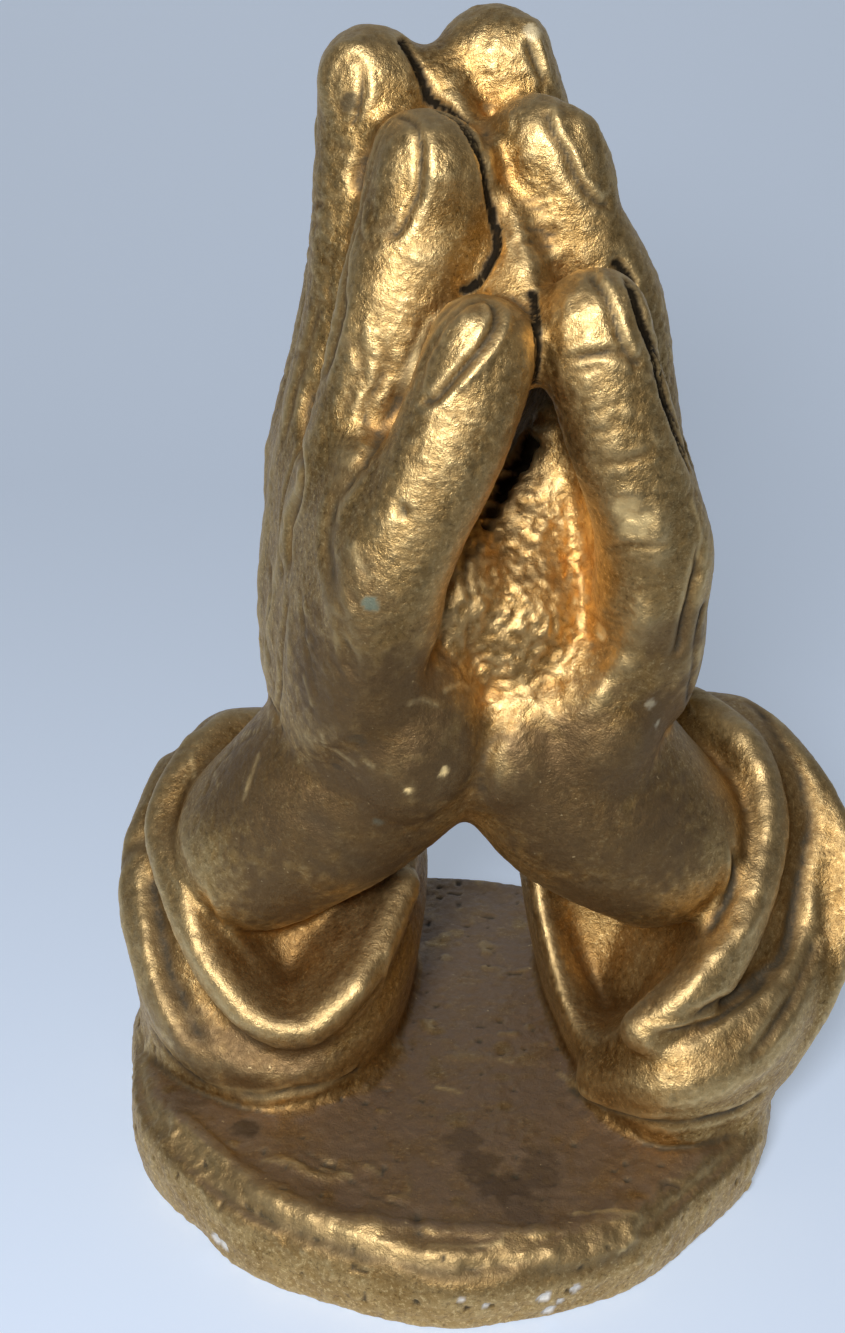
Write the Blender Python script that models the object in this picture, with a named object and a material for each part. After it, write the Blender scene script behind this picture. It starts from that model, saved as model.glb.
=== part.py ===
"""Praying hands statue: a one-piece plaster cast of two hands, palm to palm, rising from
wide sleeve cuffs on a round base.

The statue is modelled as a sculptor builds it. Each form (finger, palm, forearm, sleeve,
fold, base) is a closed loft through a few stations. A voxel remesh then fuses the forms into
one body, as the mould does, and smoothing rounds the joins.

Frame: +Z up, origin at the middle of the base's underside, -Y is the side with the little
fingers. Sizes are in millimetres and MM turns them into metres.
"""

import math

import bmesh
import bpy
import numpy as np
from mathutils import Vector

MM = 0.001

# Base
BASE_RADIUS = 71.0
BASE_THICKNESS = 17.0
BASE_EDGE_ROUND = 5.0
BASE_WOBBLE = 1.1
BASE_SHIFT = -2.0
BASE_TO_CUT = 6.0
LIP_INSET = 7.0
LIP_DROP = 2.2
LIP_RADIUS = 3.7
LIP_TURNS = (-148, -58)

# Hands: the pair stands on the sleeves, twisted on the base
HEEL_HEIGHT = 70.0
DRAWN_HEEL_HEIGHT = 70.0
HANDS_TWIST = math.radians(15.0)
HANDS_CENTRE = (-4.0, -4.0)
RIGHT_HAND_LIFT = 4.0
FINGERTIP_SWAY = 10.0
PALM_SPREAD = {-1: 1.8, 1: 5.0}

# Surface
VOXEL = 1.3
SMOOTH_REPEATS = 7
SMOOTH_FACTOR = 0.5
MOST_TRIANGLES = 11600

LOFT_SIDES = 28
SPAN_STEPS = 6
CAP_RINGS = 4


def spline(guides, steps):
    """Catmull-Rom points through all guides but the first and the last two, which steer it."""
    made = []
    for k in range(1, len(guides) - 2):
        a, b, c, d = guides[k - 1 : k + 3]
        square, cube = 2 * a - 5 * b + 4 * c - d, 3 * b - a - 3 * c + d
        for t in np.arange(steps) / steps:
            made.append(0.5 * (2 * b + (c - a) * t + square * t**2 + cube * t**3))
    return np.array(made)


def smooth_rows(rows, steps=SPAN_STEPS):
    """An open curve through the stations: every column, place or size, is smoothed alike."""
    rows = np.array(rows, float)
    guides = np.vstack([2 * rows[0] - rows[1], rows, 2 * rows[-1] - rows[-2]])
    return np.vstack([spline(guides, steps), rows[-1]])


def section(side_count, squareness):
    """Points of a unit superellipse: 2 is round, more is squarer."""
    angles = np.linspace(0, 2 * math.pi, side_count, endpoint=False)
    c, s = np.cos(angles), np.sin(angles)
    power = 2 / squareness
    return np.column_stack([np.sign(c) * abs(c) ** power, np.sign(s) * abs(s) ** power])


def unit(vector):
    return vector / max(np.linalg.norm(vector), 1e-9)


def loft(rows, across, squareness=2.2, side_count=LOFT_SIDES, place=None):
    """A closed form through stations of centre, half-width along across, and half-depth on
    its outer and inner side. Both ends are rounded. place turns its points into the statue's."""
    rows = smooth_rows(rows)
    unit_section = section(side_count, squareness)
    rings = []
    tangents = np.gradient(rows[:, :3], axis=0)

    def ring(row, tangent, shift=0.0, shrink=1.0):
        along = unit(tangent)
        wide = unit(np.array(across, float) - along * np.dot(across, along))
        outward = np.cross(wide, along)
        depth = np.where(unit_section[:, 1] > 0, row[4], row[5])
        points = row[:3] + along * shift
        return (
            points
            + np.outer(unit_section[:, 0] * row[3] * shrink, wide)
            + np.outer(unit_section[:, 1] * depth * shrink, outward)
        )

    def cap(row, tangent, sign):
        reach = min(row[3], (row[4] + row[5]) / 2)
        turns = np.linspace(0, math.pi / 2, CAP_RINGS + 1)[1:-1]
        return [ring(row, tangent, sign * reach * math.sin(a), math.cos(a)) for a in turns], reach

    first, first_reach = cap(rows[0], tangents[0], -1)
    last, last_reach = cap(rows[-1], tangents[-1], 1)
    rings += first[::-1]
    rings += [ring(row, tangent) for row, tangent in zip(rows, tangents)]
    rings += last
    poles = [
        rows[0, :3] - unit(tangents[0]) * first_reach,
        rows[-1, :3] + unit(tangents[-1]) * last_reach,
    ]
    return closed_rings(rings, poles, place)


def closed_rings(rings, poles, place=None):
    """Points and faces of a closed skin over rings of equal length, with a pole at each end."""
    count = len(rings[0])
    points = np.vstack([*rings, *poles])
    faces = []
    for i in range(len(rings) - 1):
        for j in range(count):
            k = (j + 1) % count
            faces.append((i * count + j, i * count + k, (i + 1) * count + k, (i + 1) * count + j))
    south, north = len(rings) * count, len(rings) * count + 1
    top = (len(rings) - 1) * count
    for j in range(count):
        k = (j + 1) % count
        faces.append((south, k, j))
        faces.append((north, top + j, top + k))
    return (place(points) if place else points), faces


def egg(centre, radii, place=None):
    """An ellipsoid, for the pads of the palm."""
    angles = np.linspace(-math.pi / 2, math.pi / 2, 14)[1:-1]
    circle = section(20, 2.0)
    rings = [
        np.array(centre)
        + np.column_stack(
            [
                circle[:, 0] * radii[0] * math.cos(a),
                circle[:, 1] * radii[1] * math.cos(a),
                np.full(20, radii[2] * math.sin(a)),
            ]
        )
        for a in angles
    ]
    tip = np.array([0, 0, radii[2]])
    return closed_rings(rings, [centre - tip, centre + tip], place)


def hand_place(side):
    """From a hand's own frame to the statue's: n away from the palm, p from little finger to
    thumb, z up from the heel. side is -1 for the hand at -X."""
    normal = np.array([math.cos(HANDS_TWIST), math.sin(HANDS_TWIST), 0])
    along = np.array([-math.sin(HANDS_TWIST), math.cos(HANDS_TWIST), 0])
    lift = RIGHT_HAND_LIFT if side > 0 else 0.0

    def place(points):
        n, p, z = points[:, 0], points[:, 1], points[:, 2]
        high = np.clip((z - 90) / 42, 0, 1)
        radial = np.clip((p + 26) / 30, 0, 1)
        sway = -FINGERTIP_SWAY * high**1.3 * radial
        raised = lift * np.clip(z / 60, 0, 1)
        n = n + PALM_SPREAD[side] * np.exp(-(((z - 30) / 26) ** 2)) * np.clip(n / 12, 0, 1)
        base = np.array([*HANDS_CENTRE, BASE_THICKNESS + HEEL_HEIGHT])
        return (
            base
            + np.outer(n * side + sway, normal)
            + np.outer(p, along)
            + np.outer(z + raised, (0, 0, 1))
        )

    return place


# Stations in a hand's frame: n, p, z, half-width, half-depth outward, half-depth inward
LITTLE_FINGER = [
    (22.0, -28, 42, 10.0, 11.0, 10.0),
    (22.0, -30.5, 54, 10.6, 11.6, 10.0),
    (18.6, -32.5, 66, 9.6, 10.0, 9.6),
    (15.0, -33, 76, 9.8, 9.9, 9.8),
    (11.8, -32.5, 86, 9.6, 9.4, 9.8),
    (9.8, -31.5, 93.5, 9.2, 8.8, 9.4),
]
RING_FINGER = [
    (25.0, -11, 50, 10.2, 11.0, 10.0),
    (24.3, -11, 64, 10.8, 11.4, 10.5),
    (22.6, -11, 78, 10.2, 10.4, 10.5),
    (19.0, -11, 93, 10.8, 10.8, 10.5),
    (13.8, -10.5, 108, 10.4, 10.3, 10.6),
    (10.8, -10.5, 119, 10.0, 9.8, 10.4),
]
RIGHT_RING_TIP = [
    (18.2, -11, 93, 10.8, 10.2, 10.5),
    (12.0, -10.5, 108, 10.2, 8.4, 10.4),
    (9.2, -10.5, 119, 9.4, 7.6, 10.0),
]
MIDDLE_FINGER = [
    (25.0, 9, 52, 10.2, 11.0, 10.0),
    (24.3, 9, 68, 10.8, 11.4, 10.5),
    (22.4, 9, 84, 10.2, 10.4, 10.5),
    (18.6, 9, 101, 10.7, 10.8, 10.5),
    (13.4, 9, 118, 10.4, 10.3, 10.6),
    (10.8, 9, 130, 10.0, 9.8, 10.4),
]
INDEX_FINGER = [
    (23.0, 29, 48, 10.2, 11.0, 10.0),
    (22.2, 28.5, 62, 10.8, 11.2, 10.5),
    (20.4, 28, 76, 10.2, 10.3, 10.5),
    (17.2, 28, 92, 10.5, 10.6, 10.5),
    (12.8, 27, 108, 10.2, 10.0, 10.4),
    (10.4, 26, 118.5, 9.6, 9.4, 10.0),
]
THUMB = [
    (21.0, 26, 12, 13.0, 13.0, 13.0),
    (20.0, 37, 32, 13.0, 13.0, 13.0),
    (17.0, 43, 50, 11.2, 11.6, 12.0),
    (14.4, 44.5, 62, 11.6, 12.0, 12.0),
    (12.0, 44, 76, 10.6, 10.6, 11.5),
    (10.0, 43, 88, 9.6, 9.0, 10.0),
]
PALM = [
    (17.5, -3, 10, 24, 16.5, 17.0),
    (19.5, -1, 18, 31, 17.5, 16.0),
    (21.0, 0, 33, 36, 16.0, 10.5),
    (22.5, 0, 48, 38, 14.0, 9.0),
    (23.5, 0, 61, 37, 12.0, 8.5),
    (23.0, 0, 69, 34, 10.0, 8.0),
]
THENAR = ((12.0, 27, 24), (13.0, 15.0, 24.0))
HYPOTHENAR = {
    -1: ((15.5, -22, 19), (13.5, 12.5, 19.0)),
    1: ((17.5, -23, 17), (12.5, 12.0, 18.5)),
}

# Nails: the finger, distance back from the tip, half-width, half-length, and the way the
# nail faces in n and p
NAILS = [
    ("little", 11.0, 4.8, 8.4, (0.62, -0.78)),
    ("ring", 12.5, 6.0, 9.8, (0.66, -0.75)),
    ("middle", 12.5, 6.0, 9.8, (0.74, -0.67)),
    ("index", 12.5, 5.8, 9.4, (0.95, 0.30)),
    ("thumb", 13.0, 7.0, 10.0, (0.80, 0.60)),
]
NAIL_THICKNESS = 2.0
NAIL_PROUD = 1.0


def nail(finger, back, half_width, half_length, facing, place):
    """A thin oval plate that lies on the finger near its tip."""
    tip, before = np.array(finger[-1], float), np.array(finger[-2], float)
    along = unit(tip[:3] - before[:3])
    reach = min(tip[3], (tip[4] + tip[5]) / 2)
    middle = tip[:3] + along * (reach - back)
    out = unit(np.array([*facing, 0.0]) - along * np.dot([*facing, 0.0], along))
    wide = np.cross(out, along)
    radius = math.hypot(facing[0] * tip[4], facing[1] * tip[3])
    centre = middle + out * (radius + NAIL_PROUD - NAIL_THICKNESS)
    points, faces = egg(np.zeros(3), (NAIL_THICKNESS, half_width, half_length))
    turned = centre + points @ np.array([out, wide, along])
    return place(turned), faces


def hand(side):
    place = hand_place(side)
    across = (0, 1, 0)
    fingers = {
        "little": LITTLE_FINGER,
        "ring": RING_FINGER if side < 0 else RING_FINGER[:3] + RIGHT_RING_TIP,
        "middle": MIDDLE_FINGER,
        "index": INDEX_FINGER,
        "thumb": THUMB,
    }
    forms = [loft(rows, across, place=place) for rows in fingers.values()]
    forms.append(loft(PALM, across, squareness=2.8, place=place))
    forms += [egg(np.array(centre), radii, place) for centre, radii in (THENAR, HYPOTHENAR[side])]
    forms += [nail(fingers[name], *sizes, place) for name, *sizes in NAILS]
    return forms


# Between the hands the mould fills the slit above the hollow
INFILL = [
    (0.0, -11, 82, 24, 4.5, 4.5),
    (0.0, -4, 100, 21, 4.5, 4.5),
    (0.0, 4, 120, 12, 4.5, 4.5),
    (0.0, 8, 133, 6, 4.0, 4.0),
]
LEDGE = ((0.5, -17, 99), (7.5, 9.0, 8.0))

# The heels of the hands run together below the hollow
HEEL_BRIDGE = ((3.5, -14, 12), (11.0, 17.5, 16.0))

# Rough plaster in the hollow: x, y, height above the base, half-width, half-depths. It leaves a
# narrow slot beside the hand at -X, which has a pad of its own on its palm.
HOLLOW_FILL = [
    (4, -6, 90, 20, 22, 22),
    (3, -2, 101, 20, 27, 27),
    (4, 3, 112, 19, 24, 24),
    (9, 8, 123, 14, 22, 22),
    (12.5, 10, 134, 10, 21, 21),
    (15, 10, 145, 8, 20, 20),
    (16, 8, 156, 7, 18, 18),
]
HOLLOW_STEP = ((-7, -15, 112), (11.0, 16.0, 15.0))
PALM_PAD = ((-17, 8, 131), (9.5, 26.0, 22.0))


def on_base(points):
    """From heights above the base, drawn for DRAWN_HEEL_HEIGHT, to the statue's frame."""
    points = np.array(points, float)
    points[:, 2] = BASE_THICKNESS + points[:, 2] * HEEL_HEIGHT / DRAWN_HEEL_HEIGHT
    return points


def arm(rows):
    return loft(rows, (0, 1, 0), squareness=2.2, place=on_base)


LEFT_ARM = [
    (-14, -11, 82, 24, 21, 21),
    (-27, -9, 67, 24, 21, 21),
    (-42, -5, 51, 22, 18.5, 18.5),
]
RIGHT_ARM = [
    (10, -8, 81, 24, 21, 21),
    (22, -7, 68, 24, 22, 22),
    (36, -4, 56, 22, 19, 19),
]

# Arms and sleeves are drawn in x, y and height above the base.
# Sleeves: rings of cloth from the foot on the base, over the folds and the rim, into the mouth.
# Each ring has ten points, clockwise from its lowest front point as seen from -Y.
LEFT_SLEEVE = [
    [
        (-36, -25, -9), (-57, -20, -9), (-67, -4, -9), (-68, 12, -5), (-60, 30, -3),
        (-46, 42, -1), (-28, 46, -1), (-13, 34, -3), (-12, 12, -9), (-22, -9, -9),
    ],
    [
        (-35, -28, 1), (-56, -25, 5), (-69, -9, 13), (-72, 8, 21), (-66, 24, 31),
        (-54, 38, 39), (-31, 46, 35), (-11, 32, 25), (-10, 10, 11), (-18, -17, 5),
    ],
    [
        (-34, -32, 9), (-56, -27, 14), (-69, -11, 27), (-74, 4, 38), (-67, 18, 53),
        (-55, 31, 60), (-33, 38, 53), (-11, 24, 41), (-9, 3, 27), (-15, -20, 17),
    ],
    [
        (-34, -29, 14), (-49, -23, 21), (-59, -11, 35), (-65, 2, 45), (-61, 14, 57),
        (-54, 27, 63), (-33, 33, 58), (-13, 20, 45), (-11, 0, 35), (-17, -21, 25),
    ],
    [
        (-34, -33, 21), (-48, -29, 29), (-59, -17, 43), (-65, -3, 52), (-61, 9, 62),
        (-53, 21, 66), (-33, 27, 61), (-14, 15, 50), (-12, -4, 42), (-20, -23, 32),
    ],
    [
        (-35, -27, 25), (-45, -23, 31), (-54, -14, 43), (-60, -2, 53), (-57, 8, 61),
        (-50, 18, 63), (-34, 23, 59), (-19, 13, 49), (-17, -4, 42), (-25, -19, 34),
    ],
    [
        (-36, -17, 25), (-42, -15, 30), (-48, -9, 38), (-52, -1, 47), (-50, 7, 54),
        (-44, 14, 56), (-35, 16, 53), (-25, 9, 45), (-24, -3, 40), (-30, -12, 33),
    ],
]
RIGHT_SLEEVE = [
    [
        (40, -27, -9), (57, -20, -9), (65, -4, -9), (65, 12, -5), (60, 28, -1),
        (47, 44, 1), (31, 49, 1), (21, 39, -3), (23, 18, -9), (30, -8, -9),
    ],
    [
        (40, -36, 3), (61, -27, 3), (72, -10, 8), (76, 6, 19), (71, 22, 33),
        (57, 38, 45), (30, 48, 39), (15, 37, 23), (18, 16, 7), (27, -16, 2),
    ],
    [
        (40, -38, 18), (62, -29, 19), (76, -14, 27), (80, -3, 47), (72, 11, 65),
        (58, 30, 71), (30, 41, 61), (12, 28, 41), (15, 9, 23), (25, -19, 10),
    ],
    [
        (37, -32, 24), (55, -23, 31), (63, -12, 40), (65, 0, 57), (59, 11, 69),
        (50, 24, 72), (29, 34, 63), (12, 22, 47), (15, 5, 28), (25, -19, 14),
    ],
    [
        (35, -35, 30), (48, -30, 38), (58, -16, 51), (62, -3, 63), (56, 8, 74),
        (47, 21, 77), (29, 28, 69), (13, 17, 53), (16, 3, 31), (27, -15, 15),
    ],
    [
        (35, -27, 27), (45, -23, 36), (53, -12, 48), (57, -1, 60), (52, 7, 69),
        (44, 18, 71), (30, 24, 65), (17, 14, 49), (20, 5, 28), (30, -11, 14),
    ],
    [
        (35, -10, 15), (41, -8, 25), (46, -3, 37), (48, 3, 47), (45, 9, 55),
        (39, 14, 56), (31, 16, 49), (24, 11, 35), (25, 6, 21), (30, 0, 12),
    ],
]
LEFT_SLEEVE_ENDS = ((-36, 12, -13), (-36, -2, 43))
RIGHT_SLEEVE_ENDS = ((40, 12, -13), (34, 5, 25))

# Rolled ridges of cloth: x, y, height, radius
FOLDS = [
    [
        (-60, 14, 61, 3.0), (-65, -1, 51, 3.6), (-59, -15, 41, 4.2), (-48, -26, 27, 4.4),
        (-34, -30, 20, 4.4), (-21, -23, 30, 4.2), (-13, -6, 41, 3.6),
    ],
    [(-66, 20, 51, 4.0), (-70, 5, 37, 5.2), (-65, -10, 24, 6.0), (-54, -22, 11, 6.4), (-38, -25, 5, 6.0)],
    [
        (46, 22, 74, 3.4), (56, 8, 70, 4.6), (60, -3, 59, 5.2),
        (56, -15, 47, 6.0), (47, -27, 35, 6.0), (35, -32, 26, 4.6),
    ],
    [(73, -4, 37, 4.5), (68, -13, 28, 7.0), (57, -25, 21, 8.5), (42, -31, 15, 8.5), (30, -22, 7, 6.0)],
    [(58, 29, 70, 2.4), (71, 11, 64, 3.0), (79, -3, 48, 3.2), (76, -13, 27, 3.4), (66, -20, 9, 3.4)],
]


# Fillets of plaster where the sleeves meet the base
FILLETS = [
    [(-56, -20, 0, 2.5), (-42, -28, 0, 3.2), (-24, -22, 0, 3.0), (-14, -8, 0, 2.4)],
    [(26, -16, 0, 2.4), (38, -31, 0, 3.0), (58, -26, -1, 3.0), (64, -14, -1, 2.4)],
]


def ring_curve(points, steps=SPAN_STEPS):
    """A closed smooth curve through the points of one ring."""
    points = np.array(points, float)
    return spline(np.vstack([points[-1], points, points[0], points[1]]), steps)


def sleeve(rings, ends):
    """A closed skin through the rings of a sleeve."""
    curves = np.array([ring_curve(ring) for ring in rings])
    rows = smooth_rows(curves.reshape(len(rings), -1), 4)
    poles = [np.array(end, float) for end in ends]
    return closed_rings(list(rows.reshape(len(rows), -1, 3)), poles, on_base)


def fold(rows):
    """A rolled ridge of cloth along a path, with its own thickness at each station."""
    return loft([(x, y, z, r, r, r) for x, y, z, r in rows], (0.3, 0.5, 0.8), side_count=16, place=on_base)


def front_lip():
    """The worn ridge along the front of the base's top edge."""
    rows = []
    for turn in np.radians(np.linspace(*LIP_TURNS, 9)):
        out = BASE_RADIUS - LIP_INSET + 1.2 * math.sin(9 * turn)
        radius = LIP_RADIUS + 0.5 * math.sin(7 * turn)
        rows.append((BASE_SHIFT + out * math.cos(turn), out * math.sin(turn), -LIP_DROP, radius))
    return fold(rows)


def base():
    """The cast disc, with an uneven round edge. It starts below z = 0, where it is cut flat."""
    angles = np.linspace(0, 2 * math.pi, 120, endpoint=False)
    circle = np.column_stack([np.cos(angles), np.sin(angles)])
    waves = ((3, 0.6, 1.0), (5, 2.0, 0.6), (11, 0.0, 0.4))
    wobble = BASE_WOBBLE * sum(size * np.sin(count * angles + start) for count, start, size in waves)
    profile = [(BASE_RADIUS - 3, -BASE_TO_CUT), (BASE_RADIUS - 1.5, 0.0), (BASE_RADIUS, BASE_THICKNESS * 0.4)]
    for turn in np.linspace(0, math.pi / 2, 5):
        radius = BASE_RADIUS - BASE_EDGE_ROUND * (1 - math.cos(turn))
        height = BASE_THICKNESS - BASE_EDGE_ROUND * (1 - math.sin(turn))
        profile.append((radius, height))
    profile += [(BASE_RADIUS * share, BASE_THICKNESS) for share in (0.8, 0.6, 0.4, 0.2)]
    rings = []
    for radius, height in profile:
        edge = circle * (radius + wobble)[:, None] + (BASE_SHIFT, 0)
        rings.append(np.column_stack([edge, np.full(len(angles), height)]))
    poles = [(BASE_SHIFT, 0, -BASE_TO_CUT), (BASE_SHIFT, 0, BASE_THICKNESS)]
    return closed_rings(rings, poles)


def joined(name, forms):
    """One mesh object that holds all the forms as they are."""
    mesh = bpy.data.meshes.new(name)
    points, faces, start = [], [], 0
    for form_points, form_faces in forms:
        points.append(np.array(form_points))
        faces += [tuple(i + start for i in face) for face in form_faces]
        start += len(form_points)
    mesh.from_pydata((np.vstack(points) * MM).tolist(), [], faces)
    work = bmesh.new()
    work.from_mesh(mesh)
    bmesh.ops.recalc_face_normals(work, faces=work.faces)
    work.to_mesh(mesh)
    work.free()
    obj = bpy.data.objects.new(name, mesh)
    bpy.context.scene.collection.objects.link(obj)
    return obj


def apply_modifiers(obj):
    """The object's mesh becomes what its modifiers make of it."""
    graph = bpy.context.evaluated_depsgraph_get()
    made = bpy.data.meshes.new_from_object(obj.evaluated_get(graph))
    obj.modifiers.clear()
    obj.data = made


def fuse(obj):
    """All forms become one skin, and the joins are rounded."""
    remesh = obj.modifiers.new("fuse", "REMESH")
    remesh.mode = "VOXEL"
    remesh.voxel_size = VOXEL * MM
    smooth = obj.modifiers.new("round the joins", "SMOOTH")
    smooth.factor = SMOOTH_FACTOR
    smooth.iterations = SMOOTH_REPEATS
    apply_modifiers(obj)


def thin_out(obj):
    """Fewer triangles where the surface is calm."""
    triangles = sum(len(face.vertices) - 2 for face in obj.data.polygons)
    decimate = obj.modifiers.new("thin out", "DECIMATE")
    decimate.ratio = min(1.0, MOST_TRIANGLES / triangles)
    apply_modifiers(obj)


def cut_flat(obj):
    """The underside is flat at z = 0."""
    work = bmesh.new()
    work.from_mesh(obj.data)
    everything = work.verts[:] + work.edges[:] + work.faces[:]
    bmesh.ops.bisect_plane(
        work, geom=everything, plane_co=(0, 0, 0), plane_no=(0, 0, 1), clear_inner=True, dist=1e-6
    )
    rim = [edge for edge in work.edges if edge.is_boundary]
    bmesh.ops.contextual_create(work, geom=rim)
    bmesh.ops.triangulate(work, faces=[face for face in work.faces if len(face.verts) > 4])
    bmesh.ops.recalc_face_normals(work, faces=work.faces)
    work.to_mesh(obj.data)
    work.free()


def gold_paint():
    material = bpy.data.materials.new("gold_paint")
    material.use_nodes = True
    shader = material.node_tree.nodes["Principled BSDF"]
    shader.inputs["Base Color"].default_value = (0.46, 0.28, 0.09, 1)
    shader.inputs["Metallic"].default_value = 0.9
    shader.inputs["Roughness"].default_value = 0.38
    return material


def main():
    for obj in list(bpy.data.objects):
        bpy.data.objects.remove(obj)
    forms = [base()]
    forms += hand(-1) + hand(1)
    forms.append(loft(INFILL, (0, 1, 0), place=hand_place(-1)))
    forms.append(egg(np.array(LEDGE[0]), LEDGE[1], hand_place(-1)))
    forms.append(egg(np.array(HEEL_BRIDGE[0]), HEEL_BRIDGE[1], hand_place(1)))
    forms.append(loft(HOLLOW_FILL, (1, 0, 0), place=on_base))
    forms += [egg(np.array(centre), radii, on_base) for centre, radii in (HOLLOW_STEP, PALM_PAD)]
    forms += [arm(LEFT_ARM), arm(RIGHT_ARM)]
    forms += [sleeve(LEFT_SLEEVE, LEFT_SLEEVE_ENDS), sleeve(RIGHT_SLEEVE, RIGHT_SLEEVE_ENDS)]
    forms += [fold(rows) for rows in FOLDS + FILLETS]
    forms.append(front_lip())
    statue = joined("praying_hands_statue", forms)
    fuse(statue)
    thin_out(statue)
    cut_flat(statue)
    statue.data.shade_smooth()
    statue.data.materials.append(gold_paint())


main()
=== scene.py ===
import math

import bpy
import numpy as np
from mathutils import Matrix, Vector
from mathutils.bvhtree import BVHTree


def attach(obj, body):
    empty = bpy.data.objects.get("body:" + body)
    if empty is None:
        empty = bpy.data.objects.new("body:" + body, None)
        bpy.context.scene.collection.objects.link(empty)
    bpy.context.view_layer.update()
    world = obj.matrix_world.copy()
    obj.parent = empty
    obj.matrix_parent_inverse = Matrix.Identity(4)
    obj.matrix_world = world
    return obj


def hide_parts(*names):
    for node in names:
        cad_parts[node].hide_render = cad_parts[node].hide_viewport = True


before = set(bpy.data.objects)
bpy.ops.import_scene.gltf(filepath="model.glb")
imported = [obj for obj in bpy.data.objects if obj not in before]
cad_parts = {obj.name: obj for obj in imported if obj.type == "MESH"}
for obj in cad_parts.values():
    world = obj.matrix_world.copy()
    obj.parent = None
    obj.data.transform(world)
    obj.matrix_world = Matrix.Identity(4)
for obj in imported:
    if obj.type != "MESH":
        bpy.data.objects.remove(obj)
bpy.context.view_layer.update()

NODE = "praying_hands_statue"
MM = 0.001

# The photograph's frame and the place it was taken from.
PHOTO_WIDTH = 845
PHOTO_HEIGHT = 1333
FOCAL_PIXELS = 1813
CAMERA_PLACE = Vector((-12, -331, 256)) * MM
CAMERA_PITCH = math.radians(24.5)
CAMERA_ROLL = math.radians(3)

# One soft lamp near the camera, and a dim room.
KEY_PLACE = Vector((-90, -460, 360)) * MM
KEY_AIM = Vector((0, 0, 100)) * MM
KEY_SIZE = 0.12
KEY_POWER = 3.0
KEY_COLOUR = (1.0, 0.98, 0.95)
ROOM_COLOUR = (1.0, 0.97, 0.93, 1)
ROOM_BRIGHTNESS = 0.065

# The floor sweeps up into a backdrop with its own glow for the rays that show it.
FLOOR_COLOUR = (0.46, 0.55, 0.72, 1)
NEAR_FLOOR_COLOUR = (0.12, 0.13, 0.15, 1)
BACKDROP_COLOUR = (0.74, 0.85, 1.0, 1)
BACKDROP_GLOW = 0.40

# The fine mesh.
VOXEL = 0.68 * MM
FIRST_SMOOTHING = 14
PIECE_HEIGHTS = {
    "gilded_base": (-1, 20), "gilded_sleeve_feet": (20, 48), "gilded_sleeve_mouths": (48, 84),
    "gilded_palms": (84, 130), "gilded_fingers": (130, 176), "gilded_fingertips": (176, 400)}

# The hollow between the palms, in millimetres.
HOLLOW_MIDDLE = (4, -22, 132)
HOLLOW_RADII = (17, 22, 26)

# What the shape and the marks set for each vertex. The first two only help to find the others.
HELPER_MASKS = ("hollow", "rubbed_and_highlight")
PAINT_MASKS = (
    "grime_and_crease_shade", "worn", "painted_bounce_light", "dust_and_top_shade", "umber", "painted_shadow_and_joint", "stain", "verdigris", "pale", "plaster", "bare_gold_and_highlight",
    "dull_and_shade", "shade")

# The gold under everything, from dark to light.
DARK_GOLD = (0.39, 0.235, 0.078, 1)
LIGHT_GOLD = (0.52, 0.34, 0.13, 1)

# What lies over it, in order: how much it covers, and its colour. Several coats are painted light: shade
# in creases, in recesses, on tops and over the arms, orange bounce light in recesses, highlights on
# ridges, flakes and rims, and a near-black shadow.
COATS = {
    "light grain": (1.0, (0.92, 0.69, 0.33, 1)),
    "dark grain": (1.0, (0.13, 0.072, 0.023, 1)),
    "worn": (0.75, (0.84, 0.63, 0.31, 1)),
    "painted_bounce_light": (0.75, (0.72, 0.39, 0.115, 1)),
    "dust_and_top_shade": (0.55, (0.215, 0.142, 0.076, 1)),
    "shade": (0.7, (0.20, 0.104, 0.030, 1)),
    "dull_and_shade": (1.0, (0.172, 0.108, 0.052, 1)),
    "umber": (1.0, (0.20, 0.135, 0.090, 1)),
    "stain": (0.75, (0.020, 0.011, 0.006, 1)),
    "light flecks": (1.0, (0.95, 0.74, 0.40, 1)),
    "dark flecks": (1.0, (0.17, 0.10, 0.035, 1)),
    "grime_and_crease_shade": (0.9, (0.046, 0.039, 0.025, 1)),
    "painted_shadow_and_joint": (0.97, (0.006, 0.005, 0.004, 1)),
    "verdigris": (0.75, (0.055, 0.125, 0.115, 1)),
    "pale": (0.7, (0.74, 0.72, 0.54, 1)),
    "bare_gold_and_highlight": (1.0, (0.92, 0.72, 0.36, 1)),
    "plaster": (1.0, (0.80, 0.79, 0.76, 1)),
}
ROUGHER = {"dust_and_top_shade": 0.06, "grime_and_crease_shade": 0.2, "dull_and_shade": 0.08}
LESS_METAL = {"grime_and_crease_shade": 0.5, "dust_and_top_shade": 0.10, "umber": 0.45, "dull_and_shade": 0.15, "bare_gold_and_highlight": 0.4}
NOT_METAL = ("stain", "verdigris", "pale", "plaster", "painted_shadow_and_joint")

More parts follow.
